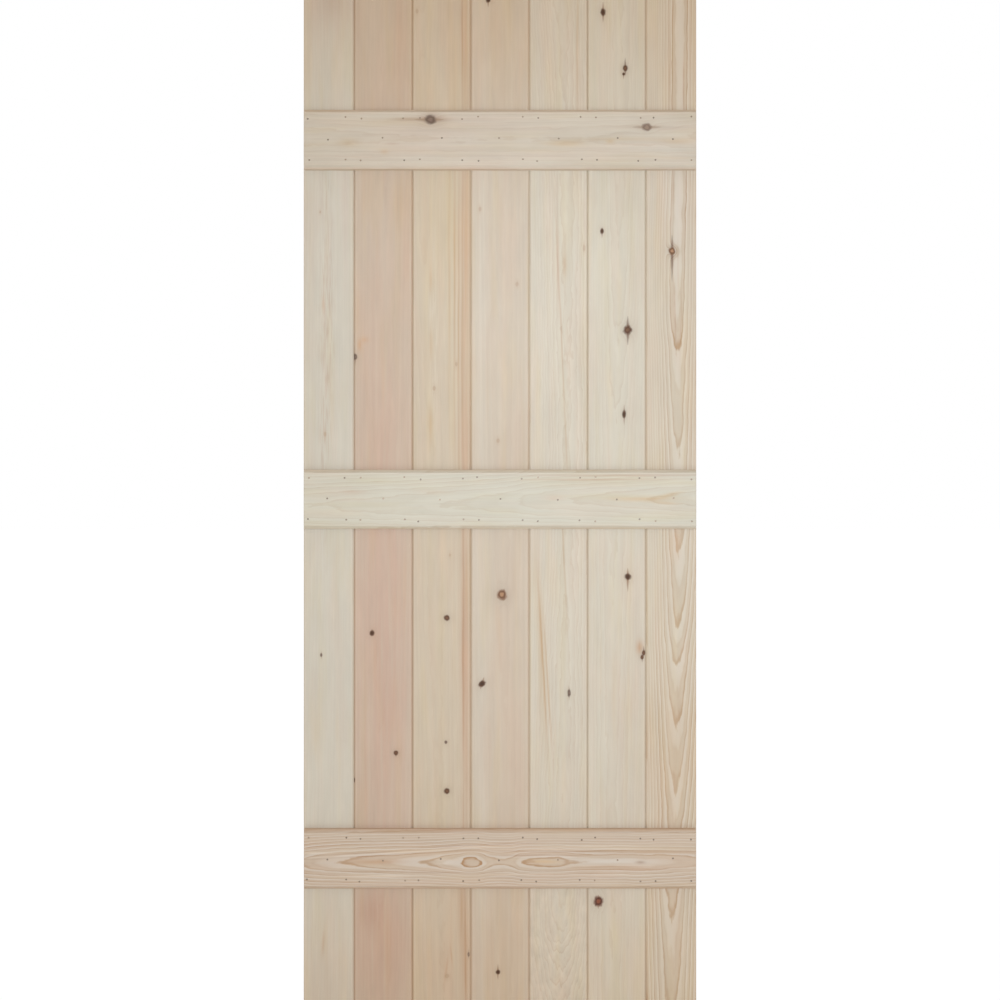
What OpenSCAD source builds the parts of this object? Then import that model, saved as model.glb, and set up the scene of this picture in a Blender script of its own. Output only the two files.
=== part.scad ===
// Ledged plank door: tongued and grooved planks side by side, nailed to three ledges.
// X is the width, Y the thickness with the ledges on the -Y side, Z is up from the bottom edge.

/* [Door] */
// Width of the whole door
door_w = 762; // [640:1:900]
// Height of the whole door
door_h = 1981; // [1700:1:2200]
// Flat planed on the door's outer corners, so that they aren't sharp
arris = 1; // [0.5:0.25:2]

/* [Planks] */
// Number of planks side by side
plank_count = 7; // [5:1:9]
// Width of each outermost plank, trimmed to its side of the door
edge_plank_w = 97.5; // [70:0.5:120]
// Thickness of a plank
plank_t = 18; // [16:0.5:24]
// Open gap between the shoulders of neighbouring planks
joint_gap = 0.3; // [0.2:0.1:0.9]
// Leg of the bevel on each plank that makes half of a V joint
v_cut = 3; // [1.5:0.5:4]
// How far a tongue stands out from its shoulder
tongue_l = 6; // [4:0.5:9]
// Thickness of a tongue
tongue_t = 5.5; // [4:0.5:6.5]
// Play of a tongue in its groove, on each cheek and at the tip
tongue_play = 0.2; // [0.1:0.05:0.4]
// Bevel on the corners of a tongue and on the mouth of a groove
tongue_ease = 0.8; // [0.4:0.1:1.2]

/* [Ledges] */
// Width of a ledge, measured up the door
ledge_w = 114; // [90:1:150]
// Thickness of a ledge
ledge_t = 17; // [15:0.5:24]
// Leg of the bevel along a ledge's two long edges
ledge_bevel = 6; // [1:0.5:7]
// How far each end of a ledge is held back from the door's side
ledge_end_in = 2.5; // [0:0.5:6]
// From each end of the door to the middle of the nearer ledge
end_ledge_in = 295.5; // [200:0.5:400]

/* [Nails] */
// Length of a nail
nail_l = 30; // [24:0.5:31]
// Diameter of a nail's shank
nail_d = 2; // [1.6:0.1:2.4]
// Diameter of a nail's head
nail_head_d = 3.2; // [2.6:0.1:3.6]
// Height of the straight part of a nail's head
nail_head_h = 1.6; // [1:0.1:2.5]
// Length of the taper under a nail's head
nail_neck_l = 1.2; // [0.6:0.1:2]
// Length of a nail's point
nail_point_l = 4; // [2:0.5:6]
// How far a nail's head is punched below the ledge's face
nail_set = 0.8; // [0.5:0.1:3]
// Room around a nail in its hole, on the radius and at the point
nail_room = 0.05; // [0.02:0.01:0.15]
// Extra radius of the hole where the punch crushed its mouth
punch_flare = 0.4; // [0.1:0.1:0.8]
// Depth of that crushed mouth
punch_depth = 0.6; // [0.3:0.1:1.2]
// From a joint to the nearest nail
joint_inset = 14.5; // [11:0.5:20]
// From the door's side to the nearest nail
side_inset = 11; // [10:0.5:15]
// From a ledge's long edge to its outer rows of nails
row_inset = 16.5; // [12:0.5:30]
// How far a nail may stray from its set place
stray = 2.5; // [0:0.25:3]

/* [Hidden] */
$fn = 48;
total_t = plank_t + ledge_t;
ledge_face_y = -total_t / 2;
plank_front_y = ledge_face_y + ledge_t;
plank_back_y = plank_front_y + plank_t;
plank_mid_y = (plank_front_y + plank_back_y) / 2;

// Width that an inner plank covers from joint to joint: an equal part of what the outer two leave
cover_w = (door_w - 2 * edge_plank_w) / (plank_count - 2);
groove_half_t = tongue_t / 2 + tongue_play;
groove_d = tongue_l - joint_gap + tongue_play;

LEDGES = ["top_ledge", "middle_ledge", "bottom_ledge"];
ledge_heights = [door_h - end_ledge_in, door_h / 2, end_ledge_in];
row_offset = ledge_w / 2 - row_inset;
nail_seed = 41;
// How far a cutting or trimming solid runs past the face that it cuts
past = 1;

// Colours of the planks and ledges: most are pale sapwood, a few have pink heartwood
PLANK_COLORS = ["#d1cab8", "#c9b19d", "#d0bfa9", "#d2c2b0", "#d6cbb8", "#d6cdbb", "#d2c2ad"];
LEDGE_COLORS = ["#cdbfad", "#d5cdbd", "#c7b5a1"];

// Place of joint k: 0 is the door's left side and plank_count its right side
function joint_x(k) =
    k == 0 ? -door_w / 2 :
    k == plank_count ? door_w / 2 :
    -door_w / 2 + edge_plank_w + (k - 1) * cover_w;

// Shoulders of plank i, counted from 1 at the left
function left_x(i) = joint_x(i - 1) + (i == 1 ? 0 : joint_gap / 2);
function right_x(i) = joint_x(i) - (i == plank_count ? 0 : joint_gap / 2);

// The five nails that hold plank i under one ledge: its corners, then its middle
function set_places(i, height) =
    let (
        left = joint_x(i - 1) + (i == 1 ? side_inset : joint_inset),
        right = joint_x(i) - (i == plank_count ? side_inset : joint_inset)
    )
    [
        [left, height + row_offset],
        [right, height + row_offset],
        [left, height - row_offset],
        [right, height - row_offset],
        [(left + right) / 2, height]
    ];

// The same places with a small error in each, as nails driven by hand have
function nail_places(i, j) =
    let (
        places = set_places(i, ledge_heights[j]),
        dx = rands(-stray, stray, len(places), nail_seed + 10 * i + j),
        dz = rands(-stray, stray, len(places), nail_seed + 10 * i + j + len(places))
    )
    [for (n = [0:len(places) - 1]) places[n] + [dx[n], dz[n]]];

// Left side of a plank's section, front to back: a groove, or a plain trimmed side
function left_side(x, grooved) = grooved ? [
    [x + v_cut, plank_front_y],
    [x, plank_front_y + v_cut],
    [x, plank_mid_y - groove_half_t - tongue_ease],
    [x + tongue_ease, plank_mid_y - groove_half_t],
    [x + groove_d, plank_mid_y - groove_half_t],
    [x + groove_d, plank_mid_y + groove_half_t],
    [x + tongue_ease, plank_mid_y + groove_half_t],
    [x, plank_mid_y + groove_half_t + tongue_ease],
    [x, plank_back_y - v_cut],
    [x + v_cut, plank_back_y]
] : [
    [x + arris, plank_front_y],
    [x, plank_front_y + arris],
    [x, plank_back_y - arris],
    [x + arris, plank_back_y]
];

// Right side of a plank's section, back to front: a tongue, or a plain trimmed side
function right_side(x, tongued) = tongued ? [
    [x - v_cut, plank_back_y],
    [x, plank_back_y - v_cut],
    [x, plank_mid_y + tongue_t / 2],
    [x + tongue_l - tongue_ease, plank_mid_y + tongue_t / 2],
    [x + tongue_l, plank_mid_y + tongue_t / 2 - tongue_ease],
    [x + tongue_l, plank_mid_y - tongue_t / 2 + tongue_ease],
    [x + tongue_l - tongue_ease, plank_mid_y - tongue_t / 2],
    [x, plank_mid_y - tongue_t / 2],
    [x, plank_front_y + v_cut],
    [x - v_cut, plank_front_y]
] : [
    [x - arris, plank_back_y],
    [x, plank_back_y - arris],
    [x, plank_front_y + arris],
    [x - arris, plank_front_y]
];

// A rectangle from [x0, y0] to [x1, y1] with its four corners cut at 45 degrees
module cut_corner_rectangle(x0, y0, x1, y1, cut) {
    polygon([
        [x0 + cut, y0], [x1 - cut, y0],
        [x1, y0 + cut], [x1, y1 - cut],
        [x1 - cut, y1], [x0 + cut, y1],
        [x0, y1 - cut], [x0, y0 + cut]
    ]);
}

// Extrudes a section drawn as [y, z] along X, a little past both sides of the door
module along_width() {
    length = door_w + 2 * past;
    translate([-length / 2, 0, 0])
        rotate([90, 0, 90])
            linear_extrude(length)
                children();
}

// A nail with its point in +Y and the top of its head at Y = 0
module nail() {
    head_r = nail_head_d / 2;
    shank_r = nail_d / 2;
    rotate([-90, 0, 0])
        rotate_extrude()
            polygon([
                [0, 0],
                [head_r, 0],
                [head_r, nail_head_h],
                [shank_r, nail_head_h + nail_neck_l],
                [shank_r, nail_l - nail_point_l],
                [0, nail_l]
            ]);
}

// The hole that a nail makes, from a little in front of the ledge's face to its point
module nail_hole() {
    head_r = nail_head_d / 2 + nail_room;
    shank_r = nail_d / 2 + nail_room;
    mouth_r = head_r + punch_flare;
    rotate([-90, 0, 0])
        rotate_extrude()
            polygon([
                [0, -past],
                [mouth_r, -past],
                [mouth_r, 0],
                [head_r, punch_depth],
                [head_r, nail_set + nail_head_h],
                [shank_r, nail_set + nail_head_h + nail_neck_l],
                [shank_r, nail_set + nail_l - nail_point_l],
                [0, nail_set + nail_l + nail_room]
            ]);
}

// One plank: tongued and grooved along its height, with its ends sawn square and eased
module plank(i) {
    color(PLANK_COLORS[(i - 1) % len(PLANK_COLORS)])
        difference() {
            intersection() {
                linear_extrude(door_h)
                    polygon(concat(
                        left_side(left_x(i), i > 1),
                        right_side(right_x(i), i < plank_count)
                    ));
                along_width()
                    cut_corner_rectangle(plank_front_y, 0, plank_back_y, door_h, arris);
            }
            for (j = [0:len(LEDGES) - 1])
                for (p = nail_places(i, j))
                    translate([p[0], ledge_face_y, p[1]])
                        nail_hole();
        }
}

// One ledge: bevelled along its long edges, cut a little short of the door's sides
module ledge(j) {
    end_x = door_w / 2 - ledge_end_in;
    z0 = ledge_heights[j] - ledge_w / 2;
    z1 = ledge_heights[j] + ledge_w / 2;
    color(LEDGE_COLORS[j])
        difference() {
            intersection() {
                along_width()
                    polygon([
                        [plank_front_y, z0],
                        [ledge_face_y + ledge_bevel, z0],
                        [ledge_face_y, z0 + ledge_bevel],
                        [ledge_face_y, z1 - ledge_bevel],
                        [ledge_face_y + ledge_bevel, z1],
                        [plank_front_y, z1]
                    ]);
                linear_extrude(door_h)
                    polygon([
                        [-end_x, plank_front_y],
                        [-end_x, ledge_face_y + arris],
                        [-end_x + arris, ledge_face_y],
                        [end_x - arris, ledge_face_y],
                        [end_x, ledge_face_y + arris],
                        [end_x, plank_front_y]
                    ]);
            }
            for (i = [1:plank_count])
                for (p = nail_places(i, j))
                    translate([p[0], ledge_face_y, p[1]])
                        nail_hole();
        }
}

// The nails through one ledge, their heads punched below its face
module nails(j) {
    color("#6b655c")
        for (i = [1:plank_count])
            for (p = nail_places(i, j))
                translate([p[0], ledge_face_y + nail_set, p[1]])
                    nail();
}

for (i = [1:plank_count])
    plank(i);
for (j = [0:len(LEDGES) - 1])
    ledge(j);
for (j = [0:len(LEDGES) - 1])
    nails(j);
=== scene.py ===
"""Dresses the ledged plank door: bare knotty pine boards and dull steel nails, lit as in a studio."""

import math
from dataclasses import dataclass, field

import bpy
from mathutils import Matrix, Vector

MM = 0.001

# Sizes that the CAD model has, in millimetres
JOINTS = (-381.0, -283.5, -170.1, -56.7, 56.7, 170.1, 283.5, 381.0)
PLANK_FRONT = -0.5
LEDGE_FRONT = -17.5
DOOR_HEIGHT = 1981.0
V_CUT = 3.0
LEDGE_HALF = 57.0
LEDGE_BEVEL = 6.0
LEDGE_HEIGHTS = {"top_ledge": 1685.5, "middle_ledge": 990.5, "bottom_ledge": 295.5}

# Where the camera stands, in metres, and how much of the door's plane it takes in
CAMERA_DISTANCE = 2.5
CAMERA_HEIGHT = 0.989
VIEW_WIDTH = 1.9412
SENSOR_WIDTH = 36.0

# Rings to the millimetre across a face: up to the first they show fully, from the second on faintly
COARSE = 0.13
FINE = 0.26
FAINT = 0.22

# Places within a year's ring, from 0 to 1: where its summer wood begins, steepens, peaks and ends
SUMMER_START = 0.3
SUMMER_STEEP = 0.74
SUMMER_EVEN = 0.86
SUMMER_PEAK = 0.91
SUMMER_LAST = 0.93
# A faint line in the middle of a ring: its place, sharpness and strength
BETWEEN_PLACE = 0.45
BETWEEN_SHARPNESS = 11.0
BETWEEN_STRENGTH = 0.28
# Where the pale spring wood starts to darken, and where it is gone
SPRING_START = 0.05
SPRING_END = 0.55

# Shares of a board's wander that bend its rings sideways and make them jagged
BEND_SHARE = 2.0
JAG_SHARE = 0.4
# How far a knot pushes the rings aside, as a share of its swell
SWELL_SHARE = 0.9

# Steps in a noise's place, and in a ring's number, from one seed to the next
SEED_STEP_ACROSS = 7.3
SEED_STEP_ALONG = 3.1
SEED_STEP_RINGS = 31.0

# Noise values between which streaks, flecks, tones and the rings' lulls come in
STREAK_FADE = (0.25, 0.6)
FLECK_FADE = (0.46, 0.62)
BLUSH_FADE = (0.4, 0.7)
HONEY_FADE = (0.45, 0.72)
LULL_FADE = (0.36, 0.58)
# What is left of a patch between its streaks, and how far it bends sideways in millimetres
PATCH_LEAST = 0.5
PATCH_BEND_REACH = 5.0

# Where a knot's core fades out and its rim sets in, in half sizes of the knot
CORE_FADE = (0.5, 1.45)
RIM_FADE = (0.2, 0.7)
# How ragged a knot's edge is, and how narrow its halo and the swell of the rings round it are
KNOT_RAGGEDNESS = 0.9
HALO_NARROWNESS = 0.45
SWELL_NARROWNESS = 0.6
HALO_STRENGTH = 0.16
# A knot's tail: its width at the knot and at its tip, its share of raggedness and how it fades
TAIL_WIDTH = 0.45
TAIL_TIP = 0.08
TAIL_RAGGEDNESS = 0.2
TAIL_FADE = 0.35

# How strongly the noises lighten and darken the wood
STREAK_LIGHT = 2.2
CLOUD_LIGHT = 0.12
MOTTLE_LIGHT = 0.12
FIBRE_LIGHT = 0.10
# How much lighter spring wood is, and what makes up for the dark lines on the whole board
SPRING_LIGHT = 0.12
MAKE_UP_LIGHT = 0.12

# How far a face has to look along the grain to count as sawn
SAWN_FADE = (0.6, 0.9)
# How much deeper the rings are on a sawn end, and how strongly the end is tinted
SAWN_DEPTH = 0.25
SAWN_STRENGTH = 0.8
# Painted highlight along each arris, where light catches the edge: how far inside the bevel it lies in
# millimetres, its narrowness and strength
HIGHLIGHT_INSET = 0.9
HIGHLIGHT_NARROWNESS = 0.7
HIGHLIGHT_STRENGTH = 0.2
# Where the painted shade in a bevel starts, in millimetres, and its strength
BEVEL_SHADE_START = 0.2
BEVEL_SHADE_STRENGTH = 0.6
# How far a ledge's face has to look up to get painted shade on its upper side
LEDGE_TOP_SHADE_FADE = (0.4, 0.9)
# How far up a plank the painted contact shade above a ledge reaches, in millimetres, and its strength
CONTACT_SHADE_REACH = 8.0
CONTACT_SHADE_STRENGTH = 0.5
# Depths in metres behind a plank's face between which that painted shade ends
CONTACT_SHADE_FADE = (1.0 * MM, 4.0 * MM)
# Heights in metres between which a mottled foot fades out
FOOT_FADE = (0.19, 0.3)
# Distances in metres from a plank's middle between which painted shade makes its wood warmer towards the
# ends
END_SHADE_FADE = (0.55, 0.99)

# Roughness of the planed wood, and what rings and fibres change in it
WOOD_ROUGHNESS = 0.66
RING_ROUGHNESS = -0.10
FIBRE_ROUGHNESS = 0.25
WOOD_SPECULAR = 0.3
# Relief of rings and fibres, its strength, and its height in metres
RING_RELIEF = 0.35
FIBRE_RELIEF = 0.8
WOOD_BUMP = 0.25
WOOD_RELIEF = 0.4 * MM

# Colours that the wood is multiplied by, in linear light
BLUSH_TINT = (1.01, 0.975, 0.965, 1.0)
HONEY_TINT = (1.0, 0.985, 0.93, 1.0)
SUMMER_TINT = (0.60, 0.36, 0.16, 1.0)
# Painted shade in the bevels of the planks' V joints and of the ledges
PLANK_BEVEL_SHADE = (0.92, 0.81, 0.72, 1.0)
LEDGE_BEVEL_SHADE = (1.0, 0.88, 0.81, 1.0)
# Painted shade on the ledges' upper sides and on the planks just above the ledges
PAINTED_SHADE_TINT = (0.84, 0.82, 0.81, 1.0)
# Painted shade, warmer towards the planks' ends
END_SHADE_TINT = (1.02, 0.985, 0.96, 1.0)
SAWN_TINT = (0.80, 0.70, 0.58, 1.0)
# Colours laid over the wood: the painted highlight on the edges in linear light, spring wood in screen
# values
HIGHLIGHT_COLOUR = (0.80, 0.70, 0.58, 1.0)
SPRING_COLOUR = (222, 217, 210)

# Colours of the nails' steel in screen values: in its scuffs, between them and where it is stained
STEEL_DARK = (118, 106, 94)
STEEL_LIGHT = (156, 144, 130)
STEEL_STAIN = (186, 166, 144)
# Scuffs and stains to the metre, and the noise values between which each comes in
SCUFFS_PER_METRE = 900.0
STAINS_PER_METRE = 31.0
SCUFF_FADE = (0.35, 0.65)
STAIN_FADE = (0.45, 0.6)
STAIN_STRENGTH = 0.7
# Noise values between which the steel smooths, and its roughness at each
STEEL_SMOOTHING = (0.3, 0.7)
STEEL_ROUGHNESS = (0.6, 0.4)
STEEL_METALLIC = 0.4
# Relief of the scuffs: its strength, and its height in metres
STEEL_BUMP = 0.3
STEEL_RELIEF = 0.1 * MM

# Light of the lamps and from all round, in linear light, and the strength of the latter
COOL_LIGHT = (0.86, 1.0, 1.18)
WARM_LIGHT = (1.21, 1.0, 0.77, 1.0)
WARM_STRENGTH = 0.505
# The floor's half side and height in metres, its paint and the colour that lifts it to white
FLOOR_HALF = 40.0
FLOOR_HEIGHT = -1.0 * MM
FLOOR_PAINT = (0.8, 0.8, 0.8, 1.0)
FLOOR_LIFT = (0.75, 0.87, 1.0, 1.0)
FLOOR_ROUGHNESS = 0.9
# Distances in metres from the door's middle between which that lift grows, and its strength at each
LIFT_FADE = (0.5, 2.6)
LIFT_STRENGTH = (0.56, 0.74)


def linear(value):
    """One screen value of 0 to 255 as linear light."""
    value = value / 255
    return value / 12.92 if value <= 0.04045 else ((value + 0.055) / 1.055) ** 2.4


def screen(red, green, blue):
    """A colour given in screen values, as the four linear numbers that a socket takes."""
    return linear(red), linear(green), linear(blue), 1.0


class Graph:
    """Adds nodes to one node tree. Its methods give back output sockets."""

    def __init__(self, tree):
        self.tree = tree

    def add(self, kind, **settings):
        node = self.tree.nodes.new(kind)
        for name, value in settings.items():
            setattr(node, name, value)
        return node

    def feed(self, socket, value):
        if isinstance(value, bpy.types.NodeSocket):
            self.tree.links.new(value, socket)
        else:
            socket.default_value = value

    def math(self, operation, *values, clamp=False):
        node = self.add("ShaderNodeMath", operation=operation, use_clamp=clamp)
        for socket, value in zip(node.inputs, values):
            self.feed(socket, value)
        return node.outputs[0]

    def plus(self, a, b):
        return self.math("ADD", a, b)

    def minus(self, a, b):
        return self.math("SUBTRACT", a, b)

    def times(self, a, b):
        return self.math("MULTIPLY", a, b)

    def over(self, a, b):
        return self.math("DIVIDE", a, b)

    def times_plus(self, a, b, c):
        return self.math("MULTIPLY_ADD", a, b, c)

    def absolute(self, a):
        return self.math("ABSOLUTE", a)

    def hypot(self, a, b):
        return self.math("SQRT", self.times_plus(a, a, self.times(b, b)))

    def bell(self, value):
        """1 where the value is 0, falling off smoothly to 0 on both sides."""
        return self.math("EXPONENT", self.times(self.times(value, value), -1.0))

    def smooth(self, value, start, end, low=0.0, high=1.0):
        """Goes smoothly from low to high as the value goes from start to end."""
        node = self.add("ShaderNodeMapRange", interpolation_type="SMOOTHSTEP")
        self.feed(node.inputs["From Min"], start)
        self.feed(node.inputs["From Max"], end)
        self.feed(node.inputs["To Min"], low)
        self.feed(node.inputs["To Max"], high)
        self.feed(node.inputs["Value"], value)
        return node.outputs["Result"]

    def share(self, value, start, end):
        """How far the value is from start to end, from 0 to 1."""
        node = self.add("ShaderNodeMapRange")
        self.feed(node.inputs["From Min"], start)
        self.feed(node.inputs["From Max"], end)
        self.feed(node.inputs["Value"], value)
        return node.outputs["Result"]

    def curve(self, factor, points):
        """A smooth line through given points. Their first numbers run from 0 to 1."""
        values = [value for _, value in points]
        low, high = min(values) - 1.0, max(values) + 1.0
        node = self.add("ShaderNodeFloatCurve")
        line = node.mapping.curves[0]
        for _ in points[2:]:
            line.points.new(0.5, 0.5)
        for point, (at, value) in zip(line.points, points):
            point.location = (at, (value - low) / (high - low))
            point.handle_type = "AUTO"
        node.mapping.update()
        self.feed(node.inputs["Value"], factor)
        return self.times_plus(node.outputs[0], high - low, low)

    def split(self, vector):
        node = self.add("ShaderNodeSeparateXYZ")
        self.feed(node.inputs[0], vector)
        return node.outputs[0], node.outputs[1], node.outputs[2]

    def join(self, x, y, z):
        node = self.add("ShaderNodeCombineXYZ")
        for socket, value in zip(node.inputs, (x, y, z)):
            self.feed(socket, value)
        return node.outputs[0]

    def noise(self, vector, detail):
        node = self.add("ShaderNodeTexNoise", noise_dimensions="3D")
        self.feed(node.inputs["Vector"], vector)
        node.inputs["Scale"].default_value = 1.0
        node.inputs["Detail"].default_value = detail
        node.inputs["Roughness"].default_value = 0.5
        return node.outputs[0]

    def chance(self, value):
        """A fixed random number between 0 and 1 for each whole value."""
        node = self.add("ShaderNodeTexWhiteNoise", noise_dimensions="1D")
        self.feed(node.inputs["W"], value)
        return node.outputs["Value"]

    def mix(self, factor, first, second, kind):
        node = self.add("ShaderNodeMix", data_type="RGBA", blend_type=kind)
        self.feed(node.inputs[0], factor)
        self.feed(node.inputs[6], first)
        self.feed(node.inputs[7], second)
        return node.outputs[2]

    def lay(self, factor, colour, cover):
        """The colour with another laid over it."""
        return self.mix(factor, colour, cover, "MIX")

    def tint(self, factor, colour, tone):
        """The colour multiplied by another."""
        return self.mix(factor, colour, tone, "MULTIPLY")

    def scale(self, vector, factor):
        node = self.add("ShaderNodeVectorMath", operation="SCALE")
        self.feed(node.inputs[0], vector)
        self.feed(node.inputs["Scale"], factor)
        return node.outputs[0]

    def bump(self, shader, height, strength, distance):
        """Gives a shader the relief of a height, its distance in metres."""
        node = self.add("ShaderNodeBump")
        node.inputs["Strength"].default_value = strength
        node.inputs["Distance"].default_value = distance
        self.feed(node.inputs["Height"], height)
        self.feed(shader.inputs["Normal"], node.outputs[0])

    def group(self, tree, **values):
        node = self.add("ShaderNodeGroup", node_tree=tree)
        for name, value in values.items():
            self.feed(node.inputs[name], value)
        return node.outputs


def new_material(name):
    """A fresh material, the graph of its nodes and its main shader."""
    material = bpy.data.materials.new(name)
    material.use_nodes = True
    shader = material.node_tree.nodes["Principled BSDF"]
    return material, Graph(material.node_tree), shader


# Inputs that place a knot or a patch on its board
PLACE_INPUTS = ("across", "along", "at_across", "at_along", "half_width", "half_length", "lean")


def new_group(name, inputs, outputs):
    """A node group with float sockets: its tree, its graph, its inputs and its outputs by name."""
    tree = bpy.data.node_groups.new(name, "ShaderNodeTree")
    for socket in inputs:
        tree.interface.new_socket(socket, in_out="INPUT", socket_type="NodeSocketFloat")
    for socket in outputs:
        tree.interface.new_socket(socket, in_out="OUTPUT", socket_type="NodeSocketFloat")
    graph = Graph(tree)
    start = graph.add("NodeGroupInput")
    end = graph.add("NodeGroupOutput")
    return tree, graph, start.outputs, end.inputs


def from_middle(graph, given):
    """A place's distance from a knot's or patch's middle: along the grain, and in half sizes."""
    along = graph.minus(given["along"], given["at_along"])
    straight = graph.minus(given["across"], given["at_across"])
    across = graph.minus(straight, graph.times(along, given["lean"]))
    wide = graph.over(across, given["half_width"])
    long = graph.over(along, given["half_length"])
    return along, wide, long


def knot_tail(graph, given, along, wide):
    """The mask of a knot's two tails, which narrow and fade along the grain."""
    upward = graph.math("GREATER_THAN", along, 0.0)
    difference = graph.minus(given["tail_up"], given["tail_down"])
    length = graph.times_plus(difference, upward, given["tail_down"])
    fade = graph.math("SUBTRACT", 1.0, graph.over(graph.absolute(along), length), clamp=True)
    taper = graph.times_plus(fade, TAIL_WIDTH, TAIL_TIP)
    ragged = graph.plus(wide, graph.times(given["wobble"], TAIL_RAGGEDNESS))
    narrow = graph.over(ragged, taper)
    return graph.times(graph.bell(narrow), graph.math("POWER", fade, TAIL_FADE))


def knot_group():
    """Masks of one knot through the board: its core, rim, tails, halo and the rings' swell."""
    inputs = PLACE_INPUTS + ("tail_up", "tail_down", "wobble")
    outputs = ("core", "rim", "tail", "halo", "swell")
    tree, graph, given, result = new_group("knot", inputs, outputs)
    along, wide, long = from_middle(graph, given)
    reach = graph.hypot(wide, long)
    ragged = graph.plus(reach, given["wobble"])
    core = graph.smooth(ragged, *CORE_FADE, 1.0, 0.0)
    swell = graph.times(graph.bell(graph.times(reach, SWELL_NARROWNESS)), given["half_width"])
    graph.feed(result["core"], core)
    graph.feed(result["rim"], graph.times(core, graph.smooth(ragged, *RIM_FADE)))
    graph.feed(result["tail"], knot_tail(graph, given, along, wide))
    graph.feed(result["halo"], graph.bell(graph.times(reach, HALO_NARROWNESS)))
    graph.feed(result["swell"], swell)
    return tree


def patch_group():
    """The mask of a soft patch of another colour, drawn out along the grain."""
    tree, graph, given, result = new_group("patch", PLACE_INPUTS + ("streak",), ("mask",))
    _, wide, long = from_middle(graph, given)
    mask = graph.bell(graph.hypot(wide, long))
    graph.feed(result["mask"], graph.times(mask, given["streak"]))
    return tree


@dataclass
class Knot:
    """A knot in millimetres of the door's frame, with its tails along the grain and its lean."""

    x: float
    z: float
    width: float
    height: float
    kind: str = "dark"
    tail_up: float = 0.0
    tail_down: float = 0.0
    lean: float = 0.0


@dataclass
class KnotLook:
    """Colours of a knot's core, rim and tails, in screen values, and how strongly they show."""

    core: tuple
    rim: tuple
    tail: tuple
    show: float


@dataclass
class Patch:
    """A soft patch of another colour: middle and half sizes in millimetres, colour, strength."""

    x: float
    z: float
    half_x: float
    half_z: float
    colour: tuple
    strength: float
    flecked: bool = False
    lean: float = 0.0


@dataclass
class Noise:
    """Noise drawn out along the grain: its marks to the metre across and along it, detail and seed."""

    across: float
    along: float
    detail: float
    seed: float


@dataclass
class Axes:
    """Sockets with a place across the grain, through the board and along the grain, in metres."""

    across: bpy.types.NodeSocket
    deep: bpy.types.NodeSocket
    along: bpy.types.NodeSocket
    # 1 on a sawn end, 0 on the planed faces
    sawn: bpy.types.NodeSocket


@dataclass
class Board:
    """One board: its mean colour in screen values, how its rings lie, and its knots and patches."""

    node: str
    tone: tuple
    # Depth of the grain's light and dark, and the distance between rings in millimetres
    contrast: float
    spacing: float
    # The tree's heart: (place along the grain, place across it, depth behind the face), in mm
    heart: list
    seed: float
    # How far the rings wander, in millimetres, and how strongly the wood is streaked
    wander: float = 4.0
    streaks: float = 0.05
    # How white the spring wood beside a ring's line is
    whiteness: float = 0.2
    # The weakest ring's share of the strongest, and what is left of the lines where they die away
    even: float = 0.55
    steady: float = 1.0
    # How much of a ring's darkness comes on gradually before its line
    gradual: float = 0.35
    # How strongly the board's foot is mottled
    mottled_foot: float = 0.0
    knots: list = field(default_factory=list)
    patches: list = field(default_factory=list)

    @property
    def upright(self):
        return self.node.startswith("plank")

    @property
    def front(self):
        return PLANK_FRONT if self.upright else LEDGE_FRONT

    @property
    def span(self):
        """Where the board starts and ends along its grain."""
        return (0.0, DOOR_HEIGHT) if self.upright else (JOINTS[0], JOINTS[-1])

    @property
    def edges(self):
        """Where the board's long edges lie across its grain, and the leg of their bevel."""
        if self.upright:
            number = int(self.node[-1])
            return JOINTS[number - 1], JOINTS[number], V_CUT
        middle = LEDGE_HEIGHTS[self.node]
        return middle - LEDGE_HALF, middle + LEDGE_HALF, LEDGE_BEVEL

    def turned(self, x, z):
        """A pair given as x and z, as across and along the grain."""
        return (x, z) if self.upright else (z, x)


# Bends of the rings
SLOW_BEND = Noise(22.0, 2.4, 2.0, 0)
QUICK_BEND = Noise(80.0, 22.0, 3.0, 0)
JAGS = Noise(180.0, 24.0, 1.0, 11)
# Stretches where the rings' lines die away
LULLS = Noise(45.0, 4.0, 2.0, 12)
# Light and dark in the wood
STREAKS = Noise(150.0, 3.2, 3.0, 1)
FIBRES = Noise(1100.0, 16.0, 2.0, 3)
CLOUDS = Noise(24.0, 4.5, 2.0, 5)
MOTTLE = Noise(70.0, 14.0, 3.0, 8)
FOOT_MOTTLE = Noise(85.0, 44.0, 2.0, 13)
# Places with a pink or yellow tone
BLUSH = Noise(34.0, 5.0, 2.0, 6)
HONEY = Noise(44.0, 4.0, 2.0, 9)
# How patches are streaked, flecked and bent, and how ragged a knot's edge is
PATCH_STREAKS = Noise(160.0, 4.0, 2.0, 2)
PATCH_FLECKS = Noise(420.0, 20.0, 2.0, 10)
PATCH_BEND = Noise(20.0, 7.0, 2.0, 7)
KNOT_EDGE = Noise(170.0, 110.0, 2.0, 4)

KNOT_LOOKS = {
    "dark": KnotLook((66, 43, 29), (92, 62, 42), (150, 112, 84), 0.95),
    "brown": KnotLook((120, 84, 60), (86, 58, 42), (108, 74, 52), 0.9),
    "red": KnotLook((146, 84, 60), (72, 44, 34), (150, 108, 82), 0.92),
    "ring": KnotLook((188, 148, 114), (96, 60, 40), (104, 68, 48), 0.9),
    "grey": KnotLook((126, 106, 94), (100, 82, 72), (160, 134, 112), 0.8),
    "pale": KnotLook((152, 132, 116), (124, 104, 92), (166, 144, 124), 0.75),
    "faint": KnotLook((188, 160, 132), (184, 154, 124), (194, 168, 140), 0.28),
}

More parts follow.
